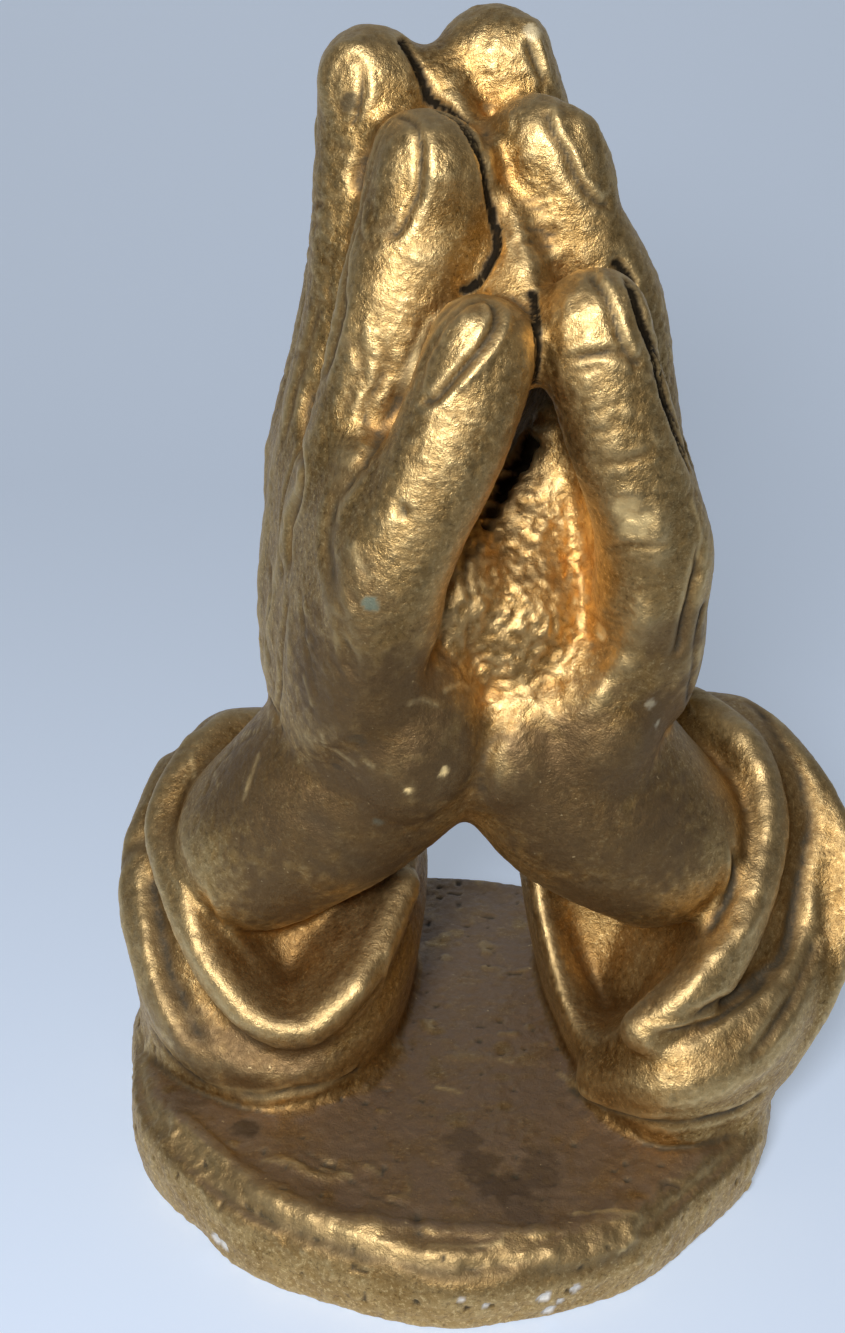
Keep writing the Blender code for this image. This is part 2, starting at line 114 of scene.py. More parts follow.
# Grooves seen in the photograph: depth and width in millimetres, then the line in its pixels.
GROOVES = {
    "left middle nail right": (0.55, 0.55, [(346, 56), (360, 62), (363, 85), (358, 110), (351, 129)]),
    "left middle nail left": (0.15, 0.8, [(346, 56), (335, 78), (337, 108), (351, 129)]),
    "left middle joint": (0.5, 1.0, [(325, 142), (338, 147), (352, 150)]),
    "left ring nail right": (0.7, 0.7, [
        (397, 113), (415, 122), (420, 145), (420, 170), (418, 192), (409, 213), (399, 232), (385, 240)]),
    "left ring nail left": (0.3, 0.7, [
        (397, 113), (384, 126), (374, 155), (369, 186), (363, 204), (361, 232), (370, 246), (385, 240)]),
    "left ring seam": (1.3, 1.5, [
        (371, 147), (360, 175), (360, 207), (352, 240), (345, 270), (341, 310), (327, 360), (310, 400),
        (302, 435), (300, 485), (290, 525), (290, 572)]),
    "left little nail": (1.1, 0.75, [
        (484, 298), (494, 304), (497, 318), (492, 333), (480, 350), (462, 370), (447, 387), (430, 401),
        (421, 396)]),
    "left little nail back": (0.5, 0.9, [
        (484, 298), (466, 304), (448, 321), (435, 340), (425, 362), (420, 385), (421, 396)]),
    "left little tip": (0.4, 0.6, [(508, 294), (521, 304), (530, 314)]),
    "left little dark edge": (0.8, 1.3, [
        (465, 293), (440, 318), (420, 342), (404, 377), (398, 402), (384, 424), (369, 453), (349, 477),
        (336, 497)]),
    "left little patch seam": (1.1, 2.0, [
        (372, 452), (350, 474), (332, 500), (325, 540), (330, 578), (334, 610)]),
    "left little joint": (0.9, 1.0, [(398, 500), (403, 511), (408, 524)]),
    "left little joint low": (0.6, 0.9, [(352, 546), (359, 561), (369, 580)]),
    "left knuckle seam": (0.6, 1.2, [(334, 610), (345, 640), (352, 676)]),
    "right middle nail": (0.9, 0.8, [(524, 36), (534, 55), (541, 74), (549, 84)]),
    "right ring notch": (0.9, 1.0, [(541, 80), (543, 90), (545, 103)]),
    "right ring nail": (0.8, 0.9, [
        (546, 106), (554, 132), (567, 153), (579, 181), (596, 201), (613, 203)]),
    "right ring small crease": (0.35, 0.6, [(546, 180), (553, 190), (559, 200)]),
    "right ring crease": (0.5, 0.9, [(520, 224), (540, 232), (562, 238)]),
    "right ring crease low": (0.4, 0.8, [(515, 236), (538, 243), (558, 248)]),
    "right little nail": (0.9, 0.9, [
        (591, 268), (594, 280), (604, 292), (612, 311), (619, 331), (625, 348), (634, 362), (647, 361)]),
    "right little crease 1": (0.2, 0.7, [(569, 277), (577, 275), (587, 279)]),
    "right little crease 2": (0.2, 0.7, [(571, 329), (582, 327), (593, 329)]),
    "right little joint": (0.7, 0.9, [(567, 361), (587, 356), (612, 352), (628, 355)]),
    "right little joint low": (0.5, 0.9, [(572, 374), (590, 369), (612, 366)]),
    "right little bend": (0.35, 0.9, [(592, 468), (612, 464), (634, 460), (658, 450)]),
    "right little bend low": (0.5, 0.8, [(604, 552), (630, 547), (650, 545), (667, 543)]),
    "right edge dark 1": (1.0, 1.0, [(701, 540), (695, 575), (689, 609), (677, 659)]),
    "right edge dark 2": (0.6, 0.9, [(704, 562), (693, 590), (686, 614), (681, 640), (671, 659)]),
    "left back line 1": (0.7, 1.2, [(290, 588), (286, 615), (282, 643), (279, 690), (276, 727)]),
    "left back line 2": (0.6, 1.0, [(257, 627), (261, 655), (265, 682), (276, 715), (282, 738)]),
    "left back line 3": (0.35, 0.9, [(301, 585), (304, 620), (309, 660), (318, 700)]),
    "left wrist 1": (0.25, 2.2, [(286, 806), (318, 822), (338, 842), (352, 860), (386, 866)]),
    "left wrist 2": (0.15, 1.5, [(300, 850), (325, 868), (352, 878)]),
    "left wrist fold": (0.3, 0.8, [(205, 795), (213, 772), (230, 752), (258, 731)]),
    "left scratch": (0.3, 0.6, [(259, 754), (252, 776), (244, 799)]),
    "left scratch 2": (0.2, 0.5, [(318, 742), (330, 753), (347, 766)]),
    "heel seam": (0.5, 1.6, [(512, 714), (499, 731), (486, 753), (482, 782), (484, 803)]),
    "right ring left side": (0.35, 1.0, [
        (494, 100), (486, 125), (487, 160), (498, 200), (508, 232), (524, 262)]),
    "left palm ripple 1": (0.6, 0.9, [(468, 540), (466, 572), (472, 604), (470, 640), (478, 668)]),
    "left palm ripple 2": (0.5, 0.8, [(478, 536), (477, 570), (482, 600)]),
    "left side line 1": (0.6, 1.0, [(268, 560), (273, 596), (268, 632), (272, 668)]),
    "left side line 2": (0.5, 0.9, [(300, 440), (286, 486), (280, 530), (284, 580)]),
    "left side line 3": (0.5, 1.2, [(318, 300), (306, 350), (292, 400), (280, 452)]),
    "left ring back 1": (0.5, 1.2, [(352, 330), (362, 360), (350, 392), (342, 420)]),
    "left ring back 2": (0.5, 1.2, [(378, 330), (388, 356), (378, 384), (366, 412), (372, 440)]),
    "right edge dark 3": (0.7, 0.9, [(706, 600), (697, 640), (690, 690), (688, 716)]),
    "right scratch": (0.25, 0.5, [(599, 784), (608, 779), (618, 776)]),
    "right heel arc 1": (0.2, 1.0, [(576, 880), (600, 884), (625, 881), (644, 872)]),
    "right heel arc 2": (0.15, 0.9, [(584, 866), (606, 870), (627, 868), (641, 861)]),
    "right wrist": (0.2, 1.4, [(662, 806), (676, 834), (683, 862), (684, 890)]),
    "left sleeve valley": (0.9, 1.8, [
        (148, 851), (154, 895), (160, 925), (169, 969), (181, 998), (195, 1028), (204, 1051)]),
    "left sleeve foot": (0.6, 1.2, [
        (150, 1030), (172, 1060), (198, 1079), (234, 1090), (263, 1095), (292, 1090), (322, 1084),
        (345, 1075), (363, 1066)]),
    "right sleeve valley": (1.0, 1.6, [
        (702, 684), (727, 689), (759, 708), (777, 733), (796, 767), (806, 798), (809, 823), (802, 860),
        (795, 897), (790, 929), (781, 958), (765, 972), (746, 986), (709, 1011), (684, 1022)]),
    "right sleeve flare": (1.0, 1.4, [
        (812, 932), (806, 963), (790, 1001), (777, 1022), (762, 1044), (749, 1063)]),
    "right sleeve thin": (0.5, 1.0, [(650, 1035), (690, 1028), (721, 1016), (752, 995), (772, 975)]),
    "right sleeve foot": (0.8, 1.2, [
        (565, 1085), (587, 1098), (609, 1108), (631, 1114), (652, 1120), (677, 1124), (702, 1121),
        (734, 1113), (755, 1100), (768, 1088)]),
    "right ledge": (0.7, 1.2, [(733, 846), (733, 879), (716, 919), (699, 937)]),
    "lip under": (0.6, 2.2, [
        (205, 1180), (247, 1204), (285, 1228), (343, 1250), (393, 1266), (443, 1273), (485, 1272),
        (552, 1270), (600, 1262), (650, 1240)]),
    "base crack": (0.3, 0.6, [(300, 1150), (340, 1170), (372, 1196), (410, 1208)]),
    "base crack 2": (0.3, 0.6, [(240, 1176), (243, 1196), (252, 1216)]),
    "base gouge": (0.8, 1.2, [(416, 1206), (418, 1226), (424, 1242)]),
}

# Ridges, in the same form, with their height first.
RIDGES = {
    "right palm edge": (1.3, 3.0, [
        (652, 588), (643, 620), (627, 651), (613, 676), (599, 695), (574, 720)]),
    "right bend edge": (1.0, 2.6, [(652, 492), (655, 530), (655, 575)]),
    "left ring pad": (1.6, 4.0, [(440, 140), (442, 175), (438, 212)]),
    "left ring pad low": (0.8, 4.0, [(432, 215), (424, 260), (410, 300)]),
    "left little rim": (0.5, 1.1, [(470, 291), (444, 313), (423, 338), (407, 372), (401, 400)]),
    "left little nail fold": (0.5, 0.9, [
        (505, 302), (507, 318), (501, 337), (488, 356), (470, 377), (452, 396)]),
    "left ring nail fold": (0.5, 0.9, [(430, 130), (432, 155), (431, 185), (422, 214), (410, 238)]),
    "left middle nail fold": (0.4, 0.8, [(371, 70), (373, 92), (368, 115)]),
    "left sickle": (0.6, 1.2, [(347, 540), (355, 556), (365, 577)]),
    "right middle nail edge": (0.5, 0.7, [(530, 20), (540, 48), (550, 80)]),
    "right ring nail edge": (0.6, 0.8, [(552, 106), (561, 132), (574, 152), (587, 180), (604, 199)]),
    "right little nail edge": (0.6, 0.8, [
        (598, 274), (609, 290), (618, 310), (625, 330), (631, 347), (641, 358)]),
    "right ring band": (0.6, 1.6, [(522, 268), (545, 258), (575, 246)]),
    "left sleeve crest": (1.4, 2.6, [
        (157, 839), (178, 878), (189, 913), (201, 945), (216, 975), (234, 1004), (257, 1022),
        (286, 1031), (310, 1028), (334, 1013), (351, 995), (366, 975), (375, 954)]),
    "left sleeve outer": (0.9, 2.2, [
        (134, 842), (145, 925), (148, 960), (157, 989), (172, 1028), (195, 1063)]),
    "left sleeve inner": (0.6, 1.5, [(207, 884), (219, 910), (234, 936), (251, 957), (263, 972)]),
    "left sleeve second": (0.5, 1.4, [(392, 936), (381, 984), (363, 1007), (334, 1036)]),
    "right sleeve crest": (1.2, 2.6, [
        (721, 713), (740, 732), (756, 757), (765, 785), (768, 816), (765, 847), (759, 885), (749, 919),
        (737, 938), (715, 960), (690, 985), (668, 1007), (652, 1013)]),
    "right sleeve fold": (1.0, 2.2, [
        (809, 879), (812, 910), (802, 947), (781, 976), (765, 997), (734, 1019), (702, 1041),
        (665, 1051), (640, 1044)]),
    "right sleeve thin ridge": (0.5, 0.9, [(646, 1029), (690, 1022), (721, 1010), (752, 988)]),
    "right ledge line": (0.6, 1.0, [(727, 840), (727, 879), (711, 916)]),
    "lip": (1.1, 3.2, [
        (202, 1158), (247, 1183), (285, 1208), (343, 1229), (393, 1246), (443, 1254), (485, 1252),
        (518, 1252), (552, 1250), (600, 1243), (648, 1222)]),
    "lip lump": (0.8, 2.0, [(602, 1217), (625, 1222), (647, 1214)]),
    "lip lump low": (0.7, 2.0, [(640, 1216), (632, 1240), (620, 1258)]),
    "lip lump 2": (0.9, 1.6, [(524, 1238), (538, 1230), (556, 1236)]),
    "lip lump 3": (0.8, 1.6, [(540, 1256), (554, 1250), (566, 1246)]),
    "lip lump 4": (0.8, 1.4, [(514, 1276), (522, 1262)]),
    "base drip 1": (0.9, 1.3, [(262, 1158), (282, 1160), (306, 1172), (330, 1176), (358, 1172)]),
    "base drip 2": (0.9, 1.4, [(268, 1166), (276, 1160)]),
    "base drip 3": (0.9, 1.5, [(320, 1160), (332, 1156)]),
    "base drip 4": (0.9, 1.6, [(366, 1160), (374, 1174)]),
    "base ridge": (0.6, 2.0, [(206, 1140), (222, 1160), (240, 1176), (262, 1196), (290, 1210)]),
    "base back ridge": (0.4, 1.8, [(432, 1060), (470, 1056), (510, 1060), (540, 1052)]),
    "base back lump": (0.7, 1.4, [(440, 1088), (462, 1092)]),
    "left foot fillet": (0.8, 1.5, [
        (200, 1078), (234, 1090), (262, 1096), (292, 1094), (322, 1086), (345, 1072), (358, 1060)]),
    "right foot fillet": (0.9, 1.6, [(568, 1084), (588, 1096), (612, 1108), (640, 1114), (668, 1120)]),
    "right foot blob": (0.9, 2.0, [(570, 1078), (584, 1086)]),
    "left nail cuticle": (0.5, 1.0, [(401, 400), (404, 380), (410, 360)]),
    "left little knuckle": (0.6, 2.2, [(388, 500), (384, 520), (388, 545)]),
    "left facet 1": (0.6, 1.6, [(314, 340), (314, 368)]),
    "left facet 2": (0.6, 2.0, [(350, 398), (364, 408)]),
    "left facet 3": (0.6, 2.6, [(344, 430), (346, 466)]),
    "left facet 4": (0.5, 2.4, [(372, 350), (380, 380)]),
    "left back patch": (0.5, 2.6, [(326, 576), (330, 600), (338, 632)]),
    "left tendon 1": (0.5, 1.6, [(262, 470), (256, 520), (255, 570), (258, 620), (264, 668)]),
    "left tendon 2": (0.5, 1.8, [(292, 600), (290, 640), (290, 690)]),
    "right ring knuckle": (0.5, 2.0, [(530, 226), (548, 232)]),
    "right little pad": (0.4, 3.0, [(574, 300), (576, 330)]),
    "right bend top": (0.6, 1.6, [(612, 494), (630, 493), (648, 497)]),
    "shelf fill": (3.0, 3.0, [(548, 398), (545, 412), (543, 426)]),
    "right fold": (0.5, 2.0, [(596, 440), (612, 446), (630, 456)]),
    "shelf edge": (0.8, 1.2, [(520, 434), (540, 436), (560, 434)]),
    "hollow rim": (1.5, 3.0, [(488, 706), (502, 701), (521, 698), (540, 704), (554, 716), (572, 722)]),
    "hollow bump": (1.0, 2.4, [(528, 566), (540, 578), (530, 592)]),
    "hollow floor": (0.8, 3.0, [(512, 660), (520, 684)]),
}

# Lines on the sides that the photograph doesn't show, by where they are seen from: height (a
# groove's is negative) and width, then places in millimetres: X and Z from the back, Y and Z
# from a side.
HIDDEN_LINES = {
    "back": {
        "right thumb nail": (-0.5, 0.7, [
            (-2, 181), (-1.5, 174), (-3, 168), (-8, 166.5), (-12, 169.5), (-13, 177), (-10.5, 183),
            (-6, 185)]),
        "right thumb joint 1": (-0.5, 0.8, [(1, 162), (-6, 159), (-12, 160.5)]),
        "right thumb joint 2": (-0.4, 0.7, [(1.5, 158), (-5, 155.5), (-11, 157)]),
        "right thumb root": (-0.6, 1.1, [(19, 138), (13, 128), (4, 124)]),
        "right palm fold": (-0.6, 1.2, [(-4, 128), (0, 112), (2, 100)]),
        "left thumb nail": (-0.5, 0.7, [
            (-19, 178), (-18.5, 170), (-22, 165), (-27, 164.5), (-31, 168), (-32, 176), (-29, 181),
            (-24, 183)]),
        "left thumb joint 1": (-0.5, 0.8, [(-18, 157), (-26, 154.5), (-33, 157)]),
        "left thumb joint 2": (-0.4, 0.7, [(-18.5, 153), (-26, 151), (-33, 153)]),
        "left thumb root": (-0.6, 1.1, [(-26, 116), (-34, 118), (-42, 126)]),
        "left palm fold": (-0.5, 1.2, [(-14, 126), (-16, 112), (-18, 100)]),
        "right index joint": (-0.4, 0.8, [(-9, 192), (-3, 190), (3, 192)]),
        "left index joint": (-0.4, 0.8, [(-20, 192), (-26, 190), (-33, 192)]),
        "right sleeve back 1": (1.2, 3.5, [(61, 82), (54, 52), (52, 22)]),
        "right sleeve back 2": (1.2, 3.5, [(42, 85), (37, 55), (39, 23)]),
        "right sleeve back 3": (1.0, 3.0, [(26, 74), (22, 50), (25, 23)]),
        "right sleeve back 4": (-0.9, 2.2, [(51, 80), (46, 50), (45, 23)]),
        "right sleeve back 5": (-0.9, 2.2, [(33, 78), (30, 50), (32, 23)]),
        "left sleeve back 1": (1.2, 3.5, [(-30, 70), (-26, 46), (-28, 23)]),
        "left sleeve back 2": (1.2, 3.5, [(-47, 78), (-43, 50), (-45, 23)]),
        "left sleeve back 3": (1.0, 3.0, [(-62, 78), (-59, 50), (-58, 23)]),
        "left sleeve back 4": (-0.9, 2.2, [(-38, 74), (-34, 48), (-36, 23)]),
        "left sleeve back 5": (-0.9, 2.2, [(-55, 77), (-51, 50), (-52, 23)]),
    },
    "left": {
        "index nail": (-0.5, 0.7, [
            (23, 207), (24, 202), (22, 197), (18, 195), (14, 198), (13.5, 204), (16, 209), (20, 211)]),
        "index knuckle 1": (-0.4, 0.7, [(24, 186), (17, 184), (11, 186)]),
        "index knuckle 2": (-0.35, 0.7, [(24, 182.5), (17, 181), (11, 182.5)]),
        "index knuckle 3": (-0.4, 0.8, [(25, 161), (17, 158.5), (9, 161)]),
        "middle knuckle 1": (-0.4, 0.7, [(6, 197), (-1, 195), (-8, 197)]),
        "middle knuckle 2": (-0.35, 0.7, [(6, 193.5), (-1, 192), (-8, 193.5)]),
        "middle knuckle 3": (-0.4, 0.8, [(8, 170), (0, 168), (-8, 170)]),
        "tendon 1": (0.8, 3.0, [(19, 152), (13, 125), (7, 98)]),
        "tendon 2": (0.8, 3.0, [(0, 154), (-1, 125), (-2, 98)]),
        "tendon 3": (0.7, 3.0, [(-20, 150), (-15, 125), (-10, 98)]),
        "sleeve side 1": (-0.8, 2.2, [(30, 78), (24, 50), (28, 24)]),
        "sleeve side 2": (-0.7, 2.0, [(4, 66), (2, 45), (6, 24)]),
    },
    "right": {
        "index nail": (-0.5, 0.7, [
            (19.5, 210), (19, 204), (21, 199), (25, 197), (29, 200), (29.5, 206), (27, 211), (23, 213)]),
        "index knuckle 1": (-0.4, 0.7, [(18, 188), (25, 186), (33, 188)]),
        "index knuckle 2": (-0.35, 0.7, [(18, 184.5), (25, 183), (33, 184.5)]),
        "index knuckle 3": (-0.4, 0.8, [(20, 163), (28, 160.5), (36, 163)]),
        "middle knuckle 1": (-0.4, 0.7, [(0, 200), (8, 198), (15, 200)]),
        "middle knuckle 2": (-0.35, 0.7, [(0, 196.5), (8, 195), (15, 196.5)]),
        "middle knuckle 3": (-0.4, 0.8, [(2, 173), (10, 171), (18, 173)]),
        "tendon 1": (0.8, 3.0, [(30, 154), (24, 126), (16, 100)]),
        "tendon 2": (0.8, 3.0, [(9, 156), (8, 126), (6, 100)]),
        "tendon 3": (0.7, 3.0, [(-12, 152), (-9, 126), (-5, 100)]),
        "sleeve side 1": (-0.8, 2.2, [(26, 82), (22, 52), (26, 24)]),
        "sleeve side 2": (-0.7, 2.0, [(4, 62), (2, 42), (4, 24)]),
    },
}

# Dark joints where one form lies against another: depth and width, then the line.
SEAMS = {
    "left ring against right ring": (0.8, 0.5, [
        (446, 110), (462, 120), (475, 140), (485, 162), (490, 190), (494, 220), (497, 246), (490, 262),
        (480, 280), (462, 294)]),
    "left middle against right middle": (0.8, 0.55, [
        (402, 40), (414, 58), (424, 80), (430, 100), (444, 109)]),
    "little fingers": (0.5, 0.5, [(532, 292), (536, 322), (537, 355), (534, 385)]),
    "right little against right ring": (1.0, 0.65, [
        (616, 262), (627, 276), (635, 295), (642, 320), (652, 342), (660, 367), (665, 395), (675, 422),
        (684, 447), (692, 468)]),
}

# Painted highlights on thin flakes and rims, each over a slightly raised line: lines by where they lie.
GLINTS = {
    "left side": [[(262, 638), (263, 652)], [(275, 598), (268, 612)], [(273, 698), (278, 724)],
        [(258, 755), (250, 778), (243, 800)], [(244, 734), (260, 730)], [(304, 676), (312, 706)]],
    "left wrist": [[(335, 750), (346, 758), (356, 766)], [(366, 762), (376, 768)],
        [(322, 736), (325, 749)]],
    "left arm": [[(214, 772), (219, 788)], [(192, 760), (195, 780)]],
    "left joint crescent": [[(402, 500), (399, 510), (404, 522)]],
    "left joint sickle": [[(355, 543), (357, 560), (370, 578)]],
    "left little nail rim": [[(466, 296), (446, 306), (430, 322), (420, 342), (413, 366), (408, 386)]],
    "left little plate": [[(484, 306), (486, 318), (476, 334)]],
    "left palm": [[(480, 660), (470, 676)], [(410, 704), (424, 700), (440, 706)],
        [(446, 690), (460, 684), (476, 690)]],
    "right ring nail rim": [[(553, 108), (560, 132), (573, 153), (585, 178), (604, 200)]],
    "right middle nail rim": [[(530, 34), (538, 54), (545, 74)]],
    "right little nail rim": [[(596, 272), (606, 284), (614, 300), (620, 320), (627, 345)]],
    "right edge": [[(690, 500), (699, 530), (699, 558)]],
    "right hollow rim": [[(488, 708), (502, 702), (521, 699), (540, 705), (554, 718)]],
    "base": [[(437, 1087), (462, 1093)], [(500, 1060), (514, 1063)], [(264, 1160), (284, 1166)],
        [(286, 1162), (306, 1170)], [(322, 1168), (352, 1176)], [(366, 1166), (382, 1174)],
        [(575, 1212), (610, 1210), (648, 1218)], [(640, 1222), (630, 1240), (618, 1254)],
        [(708, 1168), (716, 1178)], [(560, 1075), (588, 1092)],
        [(200, 1079), (232, 1088), (262, 1090), (292, 1086)], [(330, 1226), (356, 1236), (386, 1244)],
        [(430, 1246), (470, 1247), (504, 1242)]],
}

# Fine wrinkles across a form: first and last middle, how far they reach to a side, count, depth.
WRINKLES = {
    "left little": ((478, 398), (428, 482), (30, 14), 12, 0.16),
    "left little joint": ((424, 488), (410, 560), (26, 8), 8, 0.14),
    "left ring": ((436, 224), (392, 330), (32, 12), 12, 0.12),
    "left middle": ((338, 160), (322, 300), (10, 3), 11, 0.14),
    "right little": ((586, 366), (604, 440), (26, -6), 8, 0.14),
    "right edge": ((632, 588), (574, 704), (18, 2), 20, 0.22),
    "right ring": ((536, 196), (540, 256), (26, -6), 7, 0.16),
}

# Brush marks scattered in a part of the photograph: two corners, the stroke, count, depth.
DASHES = {
    "left hand back": ((300, 586), (356, 712), (11, 20), 34, 0.35),
    "left hand side": ((258, 450), (286, 690), (2, 22), 22, 0.3),
    "left ring back": ((330, 320), (392, 470), (8, 14), 30, 0.3),
    "left middle side": ((322, 160), (350, 330), (3, 18), 18, 0.25),
    "right ring side": ((650, 330), (690, 440), (8, 18), 14, 0.3),
    "right hand back": ((600, 380), (680, 470), (4, 16), 18, 0.2),
}

# Round marks by what they are: the pixel's column and row, the radius in millimetres and the
# strength.
SPOTS = {
    "verdigris": {
        "left palm": [(371, 606, 1.5, 1.0)],
        "left heel": [(378, 822, 1.0, 0.5)],
    },
    "grime_and_crease_shade": {
        "left hand": [(358, 740, 1.7, 0.7), (336, 767, 1.0, 0.7), (347, 343, 1.8, 0.7),
            (340, 478, 3.2, 0.7), (330, 530, 3.0, 0.6), (330, 560, 2.6, 0.6), (350, 102, 2.0, 0.9),
            (388, 226, 2.4, 0.6)],
    },
    "stain": {
        "left of the base": [(246, 1130, 3.2, 0.9)],
        "base": [(462, 1142, 4.5, 0.8), (480, 1165, 5.0, 0.9), (505, 1185, 5.5, 0.9),
            (535, 1175, 5.5, 0.8), (525, 1205, 5.0, 0.7), (540, 1155, 4.0, 0.7)],
    },
    "pale": {
        "right middle tip": [(525, 14, 3.0, 0.9), (533, 34, 1.6, 0.6)],
        "right heel": [(650, 704, 1.0, 0.5), (658, 725, 0.7, 0.6)],
    },
    "painted_shadow_and_joint": {
        # A painted shadow: near-black, over a shallow dent.
        "between the little fingers": [(526, 446, 3.0, 1.0), (518, 462, 2.8, 1.0), (508, 478, 2.4, 1.0),
            (500, 494, 2.1, 1.0), (493, 510, 1.7, 0.9), (487, 524, 1.2, 0.8)],
    },
    "plaster": {
        "left edge of the base": [(216, 1239, 1.5, 1.0), (224, 1245, 1.3, 1.0)],
        "front edge of the base": [(545, 1297, 1.3, 1.0), (551, 1310, 1.4, 1.0), (576, 1289, 1.1, 0.9),
            (461, 1299, 0.8, 0.9), (485, 1305, 0.6, 0.9), (560, 1302, 0.8, 0.9)],
    },
    "bare_gold_and_highlight": {
        # The bend and palm-edge spots are painted highlights; the heel spots are chips of bare gold.
        "right little bend": [(628, 510, 2.8, 0.75), (636, 526, 2.8, 0.75)],
        "right palm edge": [(601, 631, 1.6, 0.5)],
        "left heel": [(444, 771, 1.2, 1.0), (409, 790, 0.9, 1.0)],
    },
    "dull_and_shade": {
        # Painted shade, partly also duller paint, on the arms, the hands' lower parts and the left
        # sleeve's front.
        "left hand and arm": [(330, 690, 14, 1.0), (400, 710, 15, 1.0), (445, 775, 11, 1.0),
            (365, 800, 16, 1.0), (290, 820, 16, 1.0), (240, 780, 12, 0.9), (380, 860, 12, 1.0),
            (280, 900, 12, 1.0), (350, 600, 9, 0.6)],
        "right hand and arm": [(520, 800, 10, 1.0), (570, 830, 14, 1.0), (620, 770, 14, 1.0),
            (650, 840, 14, 1.0), (665, 720, 11, 1.0), (600, 900, 12, 0.9), (680, 640, 7, 0.8),
            (560, 765, 9, 1.0), (532, 752, 6, 1.0), (580, 738, 6, 1.0)],
        "left sleeve": [(200, 1050, 8, 0.9), (245, 1060, 9, 0.9), (300, 1054, 8, 0.9),
            (160, 1010, 6, 0.5)],
    },
}

# How deep they go, in millimetres.
SPOT_DEPTHS = {"plaster": 0.45, "bare_gold_and_highlight": 0.45, "stain": 0.12, "painted_shadow_and_joint": 1.2}

def smoothstep(value, start, end):
    part = np.clip((value - start) / (end - start), 0, 1)
    return part * part * (3 - 2 * part)


def camera_axes():
    forward = Vector((0, math.cos(CAMERA_PITCH), -math.sin(CAMERA_PITCH)))
    right = Vector((1, 0, 0))
    up = right.cross(forward)
    turned_right = right * math.cos(CAMERA_ROLL) + up * math.sin(CAMERA_ROLL)
    turned_up = up * math.cos(CAMERA_ROLL) - right * math.sin(CAMERA_ROLL)
    return forward, turned_right, turned_up


FORWARD, RIGHT, UP = camera_axes()


def make_camera():
    data = bpy.data.cameras.new("photo_camera")
    data.sensor_width = 36
    data.lens = FOCAL_PIXELS / PHOTO_HEIGHT * data.sensor_width
    camera = bpy.data.objects.new("photo_camera", data)
    bpy.context.scene.collection.objects.link(camera)
    turn = Matrix((RIGHT, UP, -FORWARD)).transposed().to_4x4()
    camera.matrix_world = Matrix.Translation(CAMERA_PLACE) @ turn
    bpy.context.scene.camera = camera


def photo_direction(column, row):
    across = (column - PHOTO_WIDTH / 2) / FOCAL_PIXELS
    above = (PHOTO_HEIGHT / 2 - row) / FOCAL_PIXELS
    return (FORWARD + RIGHT * across + UP * above).normalized()


class Cast:
    """The fine mesh as arrays: points, quads, normals and edges."""

    def __init__(self, source):
        mesh = source.data.copy()
        worker = bpy.data.objects.new("worker", mesh)
        bpy.context.scene.collection.objects.link(worker)
        remesh = worker.modifiers.new("remesh", "REMESH")
        remesh.mode = "VOXEL"
        remesh.voxel_size = VOXEL
        evaluated = worker.evaluated_get(bpy.context.evaluated_depsgraph_get())
        fine = evaluated.to_mesh()
        count = len(fine.vertices)
        self.points = np.zeros(count * 3)
        fine.vertices.foreach_get("co", self.points)
        self.points = self.points.reshape(-1, 3)
        self.faces = np.zeros(len(fine.loops), int)
        fine.loops.foreach_get("vertex_index", self.faces)
        self.faces = self.faces.reshape(-1, 4)
        self.edges = np.zeros(len(fine.edges) * 2, int)
        fine.edges.foreach_get("vertices", self.edges)
        self.edges = self.edges.reshape(-1, 2)
        evaluated.to_mesh_clear()
        bpy.data.objects.remove(worker)
        bpy.data.meshes.remove(mesh)
        self.degree = np.bincount(self.edges.ravel(), minlength=count)
        self.measure()

    def mean(self, values):
        """The mean of each vertex's neighbours."""
        one, two = self.edges.T
        count = len(self.points)
        if values.ndim == 1:
            total = np.bincount(one, values[two], count) + np.bincount(two, values[one], count)
            return total / self.degree
        return np.stack([self.mean(column) for column in values.T], axis=1)

    def relaxed(self, values, repeats, factor=0.5):
        for _ in range(repeats):
            values = values + (self.mean(values) - values) * factor
        return values

    def measure(self):
        a, b, c, d = (self.points[self.faces[:, i]] for i in range(4))
        area = np.cross(c - a, d - b)
        self.normals = np.zeros_like(self.points)
        for axis in range(3):
            for corner in range(4):
                self.normals[:, axis] += np.bincount(
                    self.faces[:, corner], area[:, axis], len(self.points))
        self.normals /= np.linalg.norm(self.normals, axis=1)[:, None] + 1e-12

    def tree(self):
        return BVHTree.FromPolygons(self.points.tolist(), self.faces.tolist())


def build_cast():
    cast = Cast(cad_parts[NODE])
    cast.points = cast.relaxed(cast.points, FIRST_SMOOTHING)
    cast.measure()
    return cast


def lattice(x, y, z, seed):
    """A value from -1 to 1 for each whole-numbered place, the same in every run."""
    code = (x * 374761393 + y * 668265263 + z * 1440662683 + seed * 1274126177) & 0xFFFFFFFF
    code = ((code ^ (code >> 13)) * 1274126177) & 0xFFFFFFFF
    code = code ^ (code >> 16)
    return (code & 0xFFFF) / 32767.5 - 1


def lumps(points, size, seed):
    """Smooth noise from -1 to 1 with features of the given size in metres."""
    place = points / size
    cell = np.floor(place).astype(np.int64)
    part = place - cell
    part = part * part * (3 - 2 * part)
    total = np.zeros(len(points))
    for i in (0, 1):
        for j in (0, 1):
            for k in (0, 1):
                weight = np.abs(1 - i - part[:, 0]) * np.abs(1 - j - part[:, 1])
                weight *= np.abs(1 - k - part[:, 2])
                total += weight * lattice(cell[:, 0] + i, cell[:, 1] + j, cell[:, 2] + k, seed)
    return total


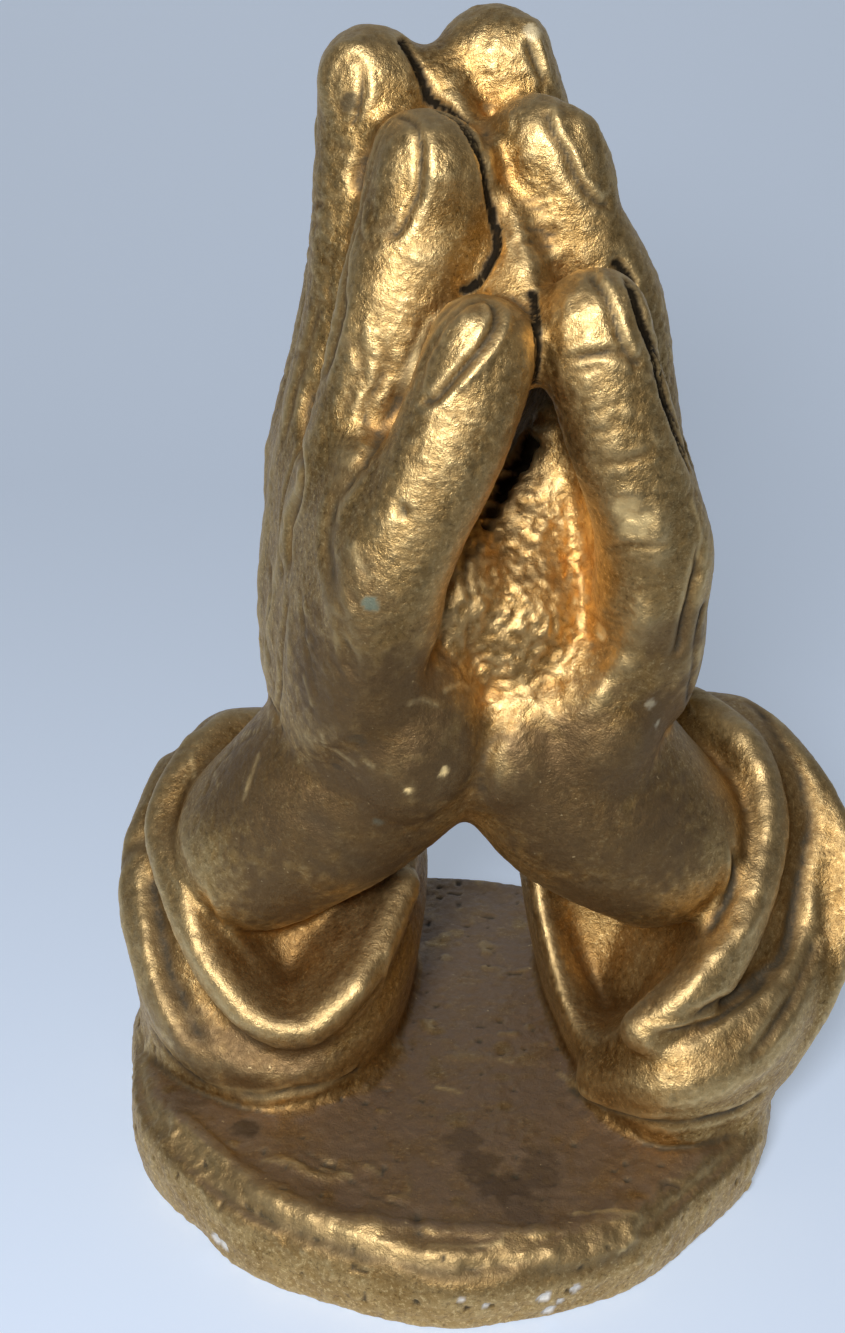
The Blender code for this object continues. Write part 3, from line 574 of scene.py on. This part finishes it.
def dimples(points, size, seed):
    """Shallow round cells, as a brush leaves them: 0 at a cell's middle and more between cells."""
    place = points / size
    cell = np.floor(place).astype(np.int64)
    nearest = np.full(len(points), 9.0)
    for i in (-1, 0, 1):
        for j in (-1, 0, 1):
            for k in (-1, 0, 1):
                x, y, z = cell[:, 0] + i, cell[:, 1] + j, cell[:, 2] + k
                gap = np.stack(
                    [x + 0.5 + 0.5 * lattice(x, y, z, seed) - place[:, 0],
                     y + 0.5 + 0.5 * lattice(x, y, z, seed + 1) - place[:, 1],
                     z + 0.5 + 0.5 * lattice(x, y, z, seed + 2) - place[:, 2]])
                nearest = np.minimum(nearest, (gap ** 2).sum(axis=0))
    return np.sqrt(nearest)


def smooth_line(points, step=4):
    """A line through the points, with a point about every few pixels."""
    rows = np.array([points[0], *points, points[-1]], float)
    line = []
    for p0, p1, p2, p3 in zip(rows, rows[1:], rows[2:], rows[3:]):
        parts = max(1, int(np.linalg.norm(p2 - p1) / step))
        for n in range(parts):
            t = n / parts
            line.append(
                0.5 * (2 * p1 + (p2 - p0) * t + (2 * p0 - 5 * p1 + 4 * p2 - p3) * t * t
                       + (3 * p1 - p0 - 3 * p2 + p3) * t ** 3))
    line.append(rows[-1])
    return line


def sight(seen_from, one, two):
    """The ray through a pixel of the photograph, or through a place seen from the back or a side."""
    if seen_from == "back":
        return Vector((one * MM, 0.3, two * MM)), Vector((0, -1, 0))
    if seen_from == "left":
        return Vector((-0.3, one * MM, two * MM)), Vector((1, 0, 0))
    if seen_from == "right":
        return Vector((0.3, one * MM, two * MM)), Vector((-1, 0, 0))
    return CAMERA_PLACE, photo_direction(one, two)


def traced(tree, points, seen_from, most_jump=5 * MM):
    """The line's runs on the surface, as they are seen from there."""
    runs = [[]]
    for one, two in smooth_line(points, 4 if seen_from == "photo" else 0.8):
        place, normal, _, _ = tree.ray_cast(*sight(seen_from, one, two))
        if place is None:
            runs.append([])
            continue
        if runs[-1] and (place - runs[-1][-1][0]).length > most_jump:
            runs.append([])
        runs[-1].append((place, normal))
    return [run for run in runs if len(run) > 1]


def near_line(cast, run, reach):
    """Vertices near a run: their indices, distance, way to its nearer end and facing."""
    line = np.array([place for place, _ in run])
    facing = np.array([normal for _, normal in run])
    low = line.min(axis=0) - reach
    high = line.max(axis=0) + reach
    near = np.flatnonzero(np.all((cast.points > low) & (cast.points < high), axis=1))
    points = cast.points[near]
    normals = cast.normals[near]
    best = np.full(len(near), 1.0)
    travel = np.zeros(len(near))
    front = np.zeros(len(near))
    done = 0.0
    for start, end, normal in zip(line, line[1:], facing):
        step = end - start
        length = np.linalg.norm(step) + 1e-9
        part = np.clip((points - start) @ step / length ** 2, 0, 1)
        distance = np.linalg.norm(points - start - part[:, None] * step, axis=1)
        closer = distance < best
        best[closer] = distance[closer]
        travel[closer] = done + part[closer] * length
        front[closer] = normals[closer] @ normal
        done += length
    kept = (best < reach) & (front > 0)
    ends = np.minimum(travel, done - travel)
    return near[kept], best[kept], ends[kept], front[kept]


def near_places(cast, places, reach):
    """Vertices within reach of any of the places, and how far each is."""
    if not places:
        return np.zeros(0, int), np.zeros(0)
    places = np.array(places)
    low, high = places.min(axis=0) - reach, places.max(axis=0) + reach
    near = np.flatnonzero(np.all((cast.points > low) & (cast.points < high), axis=1))
    best = np.full(len(near), 1.0)
    for place in places:
        best = np.minimum(best, np.linalg.norm(cast.points[near] - place, axis=1))
    kept = best < reach
    return near[kept], best[kept]


def hits(tree, points, offsets=(0,), step=3):
    """Where the line meets the surface, and beside it: both forms of a joint."""
    line = smooth_line(points, step)
    places = []
    for here, after in zip(line, line[1:]):
        across = np.array([after[1] - here[1], here[0] - after[0]])
        across = across / (np.linalg.norm(across) + 1e-9)
        for offset in offsets:
            place = tree.ray_cast(CAMERA_PLACE, photo_direction(*(here + across * offset)))[0]
            if place is not None:
                places.append(np.array(place))
    return places


class Carving:
    """The marks on a cast: how far each vertex shifts along its normal, and what covers it."""

    def __init__(self, cast):
        self.cast = cast
        self.tree = cast.tree()
        self.shift = np.zeros(len(cast.points))
        self.masks = {name: np.zeros(len(cast.points)) for name in HELPER_MASKS + PAINT_MASKS}
        self.unevenness = 0.85 + 0.35 * lumps(cast.points, 3.5 * MM, 21)

    def cover(self, mask, near, values):
        self.masks[mask][near] = np.maximum(self.masks[mask][near], values)

    def stroke(self, width, points, seen_from, reach, run_out):
        """Vertices near the line, their distance in widths, and how strong the mark is there."""
        for run in traced(self.tree, points, seen_from):
            near, distance, ends, front = near_line(self.cast, run, width * reach)
            fade = smoothstep(ends, -0.5 * width, run_out * width) * smoothstep(front, 0, 0.5)
            yield near, distance / width, fade * self.unevenness[near]

    def cut_groove(self, depth, width, points, seen_from="photo"):
        for near, away, fade in self.stroke(width * MM, points, seen_from, 3.2, 2.5):
            bowl = np.exp(-away ** 2)
            lip = 0.12 * np.exp(-((away - 2) / 0.7) ** 2)
            self.shift[near] -= depth * MM * fade * (bowl - lip)
            # Grime and painted shade along the groove's bottom.
            self.cover("grime_and_crease_shade", near, fade * min(1, 0.3 + 0.6 * depth) * bowl)

    def raise_ridge(self, height, width, points, seen_from="photo"):
        for near, away, fade in self.stroke(width * MM, points, seen_from, 3, 3):
            crest = fade * np.exp(-away ** 2)
            self.shift[near] += height * MM * crest
            # Wear and painted highlight along the crest.
            self.cover("rubbed_and_highlight", near, crest * min(1, 1.5 * height))

    def cut_seam(self, depth, width, points):
        near, distance = near_places(self.cast, hits(self.tree, points, (-2.5, 0, 2.5)), 2.5 * width * MM)
        away = distance / (width * MM)
        bowl = np.exp(-away ** 2)
        self.shift[near] -= depth * MM * bowl
        self.cover("grime_and_crease_shade", near, bowl)
        self.cover("painted_shadow_and_joint", near, 0.95 * smoothstep(-away, -1, -0.6))

    def add_glint(self, points):
        near, distance = near_places(self.cast, hits(self.tree, points), 1.4 * MM)
        broken = 0.5 + 0.5 * smoothstep(lumps(self.cast.points[near], 2 * MM, 51), -0.5, 0.3)
        crest = np.exp(-(distance / (0.5 * MM)) ** 2) * broken
        self.shift[near] += 0.22 * MM * crest
        # A painted highlight along the line.
        self.cover("bare_gold_and_highlight", near, 0.35 * crest)
        self.cover("rubbed_and_highlight", near, crest)

    def mark_spot(self, mask, edge, column, row, radius, strength):
        place, normal, _, _ = self.tree.ray_cast(CAMERA_PLACE, photo_direction(column, row))
        if place is None:
            return
        distance = np.linalg.norm(self.cast.points - np.array(place), axis=1) / (radius * MM)
        soft = 0.45 if mask == "dull_and_shade" else 0.2
        inside = strength * smoothstep(-distance - edge, -0.95 - soft, -0.95 + soft)
        inside *= (self.cast.normals @ np.array(normal)) > 0
        self.masks[mask] = np.maximum(self.masks[mask], inside)
        self.shift -= SPOT_DEPTHS.get(mask, 0) * MM * inside


def wrinkle_lines(first, last, reach, count):
    """Slightly bowed lines across a form, evenly spaced from the first middle to the last."""
    first, last, reach = np.array(first), np.array(last), np.array(reach)
    along = (last - first) / np.linalg.norm(last - first)
    for n in range(count):
        middle = first + (last - first) * (n / max(1, count - 1))
        length = 0.75 + 0.25 * math.sin(5.1 * n)
        tilt = along * 2.5 * math.sin(3.7 * n)
        yield [middle - reach * length + tilt, middle + along * 3, middle + reach * length - tilt]


def carve(carving):
    for depth, width, points in GROOVES.values():
        carving.cut_groove(depth, width, points)
    for height, width, points in RIDGES.values():
        carving.raise_ridge(height, width, points)
    for first, last, reach, count, depth in WRINKLES.values():
        for line in wrinkle_lines(first, last, reach, count):
            carving.cut_groove(depth, 0.55, line)
    for seen_from, lines in HIDDEN_LINES.items():
        for size, width, points in lines.values():
            if size < 0:
                carving.cut_groove(-size, width, points, seen_from)
            else:
                carving.raise_ridge(size, width, points, seen_from)
    for depth, width, points in SEAMS.values():
        carving.cut_seam(depth, width, points)
    for lines in GLINTS.values():
        for points in lines:
            carving.add_glint(points)


def brush(carving):
    """Short strokes scattered over parts of the hands."""
    chance = np.random.default_rng(7)
    for low, high, step, count, depth in DASHES.values():
        for _ in range(count):
            start = chance.uniform(low, high)
            end = start + np.array(step) * chance.uniform(0.5, 1.2) + chance.uniform(-2, 2, 2)
            size = depth * chance.uniform(0.5, 1.2)
            if chance.uniform() < 0.5:
                carving.cut_groove(size, 0.7, [start, end])
            else:
                carving.raise_ridge(size, 0.8, [start, end])


def mark_spots(carving):
    points = carving.cast.points
    edge = lumps(points, 1.8 * MM, 31) * 0.35 + lumps(points, 0.9 * MM, 32) * 0.15
    for mask, groups in SPOTS.items():
        for spots in groups.values():
            for column, row, radius, strength in spots:
                carving.mark_spot(mask, edge, column, row, radius, strength)


def in_ball(points, centre, radii):
    away = np.sqrt((((points / MM - np.array(centre)) / np.array(radii)) ** 2).sum(axis=1))
    return 1 - smoothstep(away, 0.75, 1.15)


def roughen(carving):
    """Unevenness all over: strong on the base and in the hollow, fine on the hands."""
    points, shift, hollow = carving.cast.points, carving.shift, carving.masks["hollow"]
    height = points[:, 2] / MM
    on_base = 1 - smoothstep(height, 17, 24)
    on_fingers = smoothstep(height, 135, 185)
    on_sleeves = smoothstep(height, 20, 30) * (1 - smoothstep(height, 62, 90))
    patches = smoothstep(lumps(points, 16 * MM, 5), -0.45, 0.35)
    rough = 0.25 + 0.8 * on_base + 0.75 * on_fingers * (0.3 + 0.7 * patches) + 0.25 * on_sleeves
    rough = np.maximum(rough, 0.6 * hollow)
    shift += 0.32 * MM * lumps(points, 12 * MM, 1) * (0.6 + rough)
    shift += 0.16 * MM * lumps(points, 5.5 * MM, 2) * rough * (1 + hollow)
    shift += 0.12 * MM * (dimples(points, 2.6 * MM, 11) - 0.5) * rough * (1 + 2 * hollow)
    shift += 0.11 * MM * lumps(points, 1.7 * MM, 3) * (0.1 + rough) * (1 + 1.5 * hollow)
    shift += 0.10 * MM * lumps(points, 1.05 * MM, 4) * (0.35 + rough) * (1 + 3 * hollow)


def wear_lip(carving):
    """The base's upper edge, rounded over and lumpy, with a painted highlight band along it."""
    points, shift, masks = carving.cast.points, carving.shift, carving.masks
    height = points[:, 2] / MM
    edge = smoothstep(height, 11, 15) * (1 - smoothstep(height, 19, 22))
    edge *= smoothstep(np.hypot(points[:, 0], points[:, 1]) / MM, 48, 56)
    tilt = np.degrees(np.arcsin(np.clip(carving.cast.normals[:, 2], -1, 1)))
    shift -= 1.0 * MM * np.exp(-((tilt - 50) / 20) ** 2) * edge
    # A painted highlight band where the edge tilts about 50 degrees up.
    masks["rubbed_and_highlight"] = np.maximum(masks["rubbed_and_highlight"], 0.9 * np.exp(-((tilt - 50) / 16) ** 2) * edge)
    shift += 0.6 * MM * np.maximum(lumps(points, 8 * MM, 15), -0.3) * edge
    shift += 0.25 * MM * lumps(points, 4 * MM, 16) * edge


def pit_and_crumble(carving):
    """Small pits all over, and crumbs of plaster in patches on the base."""
    points, shift, masks = carving.cast.points, carving.shift, carving.masks
    on_base = 1 - smoothstep(points[:, 2] / MM, 17, 24)
    pits = smoothstep(lumps(points, 2.4 * MM, 8), 0.72, 0.9) * (0.3 + on_base)
    shift -= 0.35 * MM * pits
    # Grime and painted shade in the small pits.
    masks["grime_and_crease_shade"] = np.maximum(masks["grime_and_crease_shade"], 0.5 * pits)
    crumbs = smoothstep(lumps(points, 3.2 * MM, 9), 0.45, 0.75) * on_base
    crumbs *= smoothstep(lumps(points, 14 * MM, 10), -0.1, 0.4)
    shift += 0.45 * MM * crumbs
    # The crumbs are rubbed and carry a painted highlight.
    masks["rubbed_and_highlight"] = np.maximum(masks["rubbed_and_highlight"], 0.8 * crumbs)


def shape_masks(cast, masks):
    """What the finished shape paints: grime and painted shade in creases, painted shade in low recesses,
    painted orange bounce light in high ones, wear and painted highlight on ridges, dust and painted shade
    where it faces up.
    """
    points, normals = cast.points, cast.normals
    height = points[:, 2] / MM
    fine = ((cast.relaxed(points, 8) - points) * normals).sum(axis=1) / MM
    broad = ((cast.relaxed(points, 120) - points) * normals).sum(axis=1) / MM
    above_sleeves = smoothstep(height, 70, 95)
    # Grime and painted shade in fine creases, less in the hollow.
    crevice = 0.8 * smoothstep(fine, 0.08, 0.32) * (1 - 0.7 * masks["hollow"])
    masks["grime_and_crease_shade"] = np.clip(masks["grime_and_crease_shade"] + crevice, 0, 1)
    # Wear and painted highlight: paler on fine and broad ridges, less on the base.
    masks["worn"] = smoothstep(-fine, 0.02, 0.14) * 0.6 + smoothstep(-broad, 0.1, 0.7) * 0.4
    masks["worn"] *= 0.3 + 0.7 * smoothstep(height, 14, 20)
    # Painted orange bounce light in broad recesses above the sleeves and in the hollow.
    masks["painted_bounce_light"] = smoothstep(broad, 0.15, 1.6) * above_sleeves
    masks["painted_bounce_light"] = np.maximum(masks["painted_bounce_light"], 0.25 * masks["hollow"])
    masks["shade"] = smoothstep(broad, 0.15, 1.2) * (1 - above_sleeves)
    # Dust and painted shade where the surface faces up, a little less higher up.
    masks["dust_and_top_shade"] = smoothstep(normals[:, 2], 0.1, 0.9) * (1 - 0.3 * smoothstep(height, 90, 130))
    # Less brown on the base top where it is rubbed or carries a painted highlight.
    rubbed_and_highlight = np.maximum(masks["rubbed_and_highlight"], smoothstep(lumps(points, 5 * MM, 41), 0.45, 0.8))
    masks["umber"] = smoothstep(normals[:, 2], 0.8, 0.97) * (1 - smoothstep(height, 20, 34))
    masks["umber"] *= 1 - 0.9 * rubbed_and_highlight
    masks["worn"] = np.maximum(masks["worn"], 0.8 * masks["rubbed_and_highlight"])
    # Pale grit in the hollow, partly a painted highlight.
    grit = smoothstep(lumps(points, 1.3 * MM, 42), -0.1, 0.5) * masks["hollow"]
    masks["worn"] = np.maximum(masks["worn"], grit)


def piece_from(cast, masks, name, low, high):
    middle = cast.points[cast.faces, 2].mean(axis=1) / MM
    faces = cast.faces[(middle > low) & (middle <= high)]
    used, faces = np.unique(faces, return_inverse=True)
    faces = faces.reshape(-1, 4)
    mesh = bpy.data.meshes.new(name)
    mesh.vertices.add(len(used))
    mesh.vertices.foreach_set("co", cast.points[used].ravel())
    mesh.loops.add(len(faces) * 4)
    mesh.loops.foreach_set("vertex_index", faces.ravel())
    mesh.polygons.add(len(faces))
    mesh.polygons.foreach_set("loop_start", np.arange(len(faces)) * 4)
    mesh.polygons.foreach_set("use_smooth", np.ones(len(faces), bool))
    mesh.update(calc_edges=True)
    mesh.validate()
    for label in PAINT_MASKS:
        layer = mesh.attributes.new(label, "FLOAT", "POINT")
        layer.data.foreach_set("value", masks[label][used].astype(np.float32))
    mesh.normals_split_custom_set_from_vertices(cast.normals[used].tolist())
    piece = bpy.data.objects.new(name, mesh)
    bpy.context.scene.collection.objects.link(piece)
    return piece


class Nodes:
    """Short ways to add shader nodes to one material or world."""

    def __init__(self, owner):
        owner.use_nodes = True
        self.tree = owner.node_tree
        self.tree.nodes.clear()

    def add(self, kind, settings=None, **inputs):
        node = self.tree.nodes.new(kind)
        for key, value in (settings or {}).items():
            setattr(node, key, value)
        for key, value in inputs.items():
            self.put(node, key.replace("_", " "), value)
        return node

    def put(self, node, socket, value):
        if isinstance(value, bpy.types.NodeSocket):
            self.tree.links.new(value, node.inputs[socket])
        else:
            node.inputs[socket].default_value = value

    def attribute(self, name):
        return self.add("ShaderNodeAttribute", {"attribute_name": name}).outputs["Fac"]

    def math(self, operation, one, two):
        node = self.add("ShaderNodeMath", {"operation": operation})
        self.put(node, 0, one)
        self.put(node, 1, two)
        return node.outputs[0]

    def times(self, one, two):
        return self.math("MULTIPLY", one, two)

    def mix(self, factor, one, two):
        node = self.add("ShaderNodeMix", {"data_type": "RGBA"})
        for socket, value in ((0, factor), (6, one), (7, two)):
            self.put(node, socket, value)
        return node.outputs[2]

    def noise(self, coordinates, size, detail=3, roughness=0.6):
        node = self.add("ShaderNodeTexNoise", None, Vector=coordinates, Scale=1 / size)
        self.put(node, "Detail", detail)
        self.put(node, "Roughness", roughness)
        return node.outputs["Fac"]

    def spread(self, value, start, end, low=0.0, high=1.0):
        node = self.add("ShaderNodeMapRange", {"interpolation_type": "SMOOTHSTEP"}, Value=value)
        for key, number in {"From Min": start, "From Max": end, "To Min": low, "To Max": high}.items():
            self.put(node, key, number)
        return node.outputs[0]


def gold_paint():
    material = bpy.data.materials.new("gold_paint")
    nodes = Nodes(material)
    place = nodes.add("ShaderNodeTexCoord").outputs["Object"]
    mottle = nodes.noise(place, 7 * MM, 4)
    grain = nodes.noise(place, 0.95 * MM, 3, 0.8)
    flecks = nodes.noise(place, 1.3 * MM, 2, 0.5)
    amount = {name: nodes.attribute(name) for name in PAINT_MASKS}
    amount["dust_and_top_shade"] = nodes.times(amount["dust_and_top_shade"], nodes.spread(mottle, 0.25, 0.6, 0.4, 1.0))
    amount["dull_and_shade"] = nodes.times(amount["dull_and_shade"], nodes.spread(mottle, 0.25, 0.6, 0.65, 0.9))
    amount["umber"] = nodes.times(amount["umber"], nodes.spread(mottle, 0.25, 0.6, 0.45, 0.8))
    amount["grime_and_crease_shade"] = nodes.times(amount["grime_and_crease_shade"], nodes.spread(grain, 0.2, 0.55, 0.6, 1.0))
    amount["light grain"] = nodes.spread(grain, 0.52, 0.70, 0, 0.7)
    amount["dark grain"] = nodes.spread(grain, 0.47, 0.32, 0, 0.7)
    amount["light flecks"] = nodes.spread(flecks, 0.72, 0.78, 0, 0.5)
    amount["dark flecks"] = nodes.spread(flecks, 0.30, 0.22, 0, 0.4)
    colour = nodes.mix(nodes.spread(mottle, 0.3, 0.7), DARK_GOLD, LIGHT_GOLD)
    for name, (cover, paint) in COATS.items():
        colour = nodes.mix(nodes.times(amount[name], cover), colour, paint)
    rough = nodes.spread(nodes.noise(place, 1.6 * MM, 3), 0.3, 0.7, 0.40, 0.54)
    for name, more in ROUGHER.items():
        rough = nodes.math("ADD", rough, nodes.times(amount[name], more))
    metal = 1.0
    for name, less in LESS_METAL.items():
        metal = nodes.math("SUBTRACT", metal, nodes.times(amount[name], less))
    for name in NOT_METAL:
        metal = nodes.times(metal, nodes.math("SUBTRACT", 1.0, amount[name]))
    # No shine in the painted shadow and along the joints' middle.
    shine = nodes.times(nodes.math("SUBTRACT", 1.0, amount["painted_shadow_and_joint"]), 0.5)
    matt = nodes.math("SUBTRACT", 1.0, nodes.times(amount["stain"], 0.7))
    bump = nodes.add("ShaderNodeBump", None, Strength=0.85, Distance=0.26 * MM, Height=grain)
    shader = nodes.add("ShaderNodeBsdfPrincipled", None, Metallic=metal, Roughness=rough)
    nodes.put(shader, "Base Color", colour)
    nodes.put(shader, "Specular IOR Level", nodes.times(shine, matt))
    nodes.put(shader, "Normal", bump.outputs[0])
    nodes.add("ShaderNodeOutputMaterial", None, Surface=shader.outputs[0])
    return material


def pale_floor():
    material = bpy.data.materials.new("pale_floor")
    nodes = Nodes(material)
    path = nodes.add("ShaderNodeLightPath").outputs
    shown = nodes.math("MAXIMUM", path["Is Camera Ray"], path["Is Glossy Ray"])
    shown = nodes.math("MAXIMUM", shown, path["Is Transmission Ray"])
    shader = nodes.add("ShaderNodeBsdfPrincipled", None, Base_Color=FLOOR_COLOUR, Roughness=0.6)
    nodes.put(shader, "Emission Color", BACKDROP_COLOUR)
    nodes.put(shader, "Emission Strength", nodes.times(shown, BACKDROP_GLOW))
    nodes.add("ShaderNodeOutputMaterial", None, Surface=shader.outputs[0])
    return material


def near_floor():
    material = bpy.data.materials.new("grey_floor")
    nodes = Nodes(material)
    shader = nodes.add("ShaderNodeBsdfPrincipled", None, Base_Color=NEAR_FLOOR_COLOUR, Roughness=0.7)
    nodes.add("ShaderNodeOutputMaterial", None, Surface=shader.outputs[0])
    return material


def make_stage():
    """A floor that sweeps up into a backdrop. Its strip nearer than the photograph shows is grey."""
    half, front, back, tall, radius, steps = 1.2, -0.085, 0.75, 1.6, 0.35, 12
    profile = [(-half, 0.0), (front, 0.0)]
    for n in range(steps + 1):
        turn = math.pi / 2 * n / steps
        profile.append((back - radius + radius * math.sin(turn), radius - radius * math.cos(turn)))
    profile.append((back, tall))
    verts = [(side, y, z) for y, z in profile for side in (-half, half)]
    faces = [(2 * n, 2 * n + 1, 2 * n + 3, 2 * n + 2) for n in range(len(profile) - 1)]
    mesh = bpy.data.meshes.new("floor")
    mesh.from_pydata(verts, [], faces)
    for polygon in mesh.polygons:
        polygon.use_smooth = True
    mesh.materials.append(pale_floor())
    mesh.materials.append(near_floor())
    mesh.polygons[0].material_index = 1
    floor = bpy.data.objects.new("floor", mesh)
    bpy.context.scene.collection.objects.link(floor)


def make_light():
    world = bpy.data.worlds.new("room")
    nodes = Nodes(world)
    back = nodes.add("ShaderNodeBackground", None, Color=ROOM_COLOUR, Strength=ROOM_BRIGHTNESS)
    nodes.add("ShaderNodeOutputWorld", None, Surface=back.outputs[0])
    bpy.context.scene.world = world
    data = bpy.data.lights.new("key", "AREA")
    data.shape = "DISK"
    data.size = KEY_SIZE
    data.energy = KEY_POWER
    data.color = KEY_COLOUR
    light = bpy.data.objects.new("key", data)
    light.location = KEY_PLACE
    light.rotation_euler = (KEY_AIM - KEY_PLACE).to_track_quat("-Z", "Y").to_euler()
    bpy.context.scene.collection.objects.link(light)


def main():
    make_camera()
    cast = build_cast()
    carving = Carving(cast)
    carving.masks["hollow"] = in_ball(cast.points, HOLLOW_MIDDLE, HOLLOW_RADII)
    carve(carving)
    brush(carving)
    roughen(carving)
    wear_lip(carving)
    pit_and_crumble(carving)
    mark_spots(carving)
    cast.points = cast.points + cast.normals * carving.shift[:, None]
    cast.points[:, 2] = np.maximum(cast.points[:, 2], 0)
    cast.measure()
    shape_masks(cast, carving.masks)
    material = gold_paint()
    for name, (low, high) in PIECE_HEIGHTS.items():
        piece = piece_from(cast, carving.masks, name, low, high)
        piece.data.materials.append(material)
        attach(piece, "root")
        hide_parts(NODE)
    make_stage()
    make_light()
    bpy.context.scene.view_settings.view_transform = "Standard"


main()
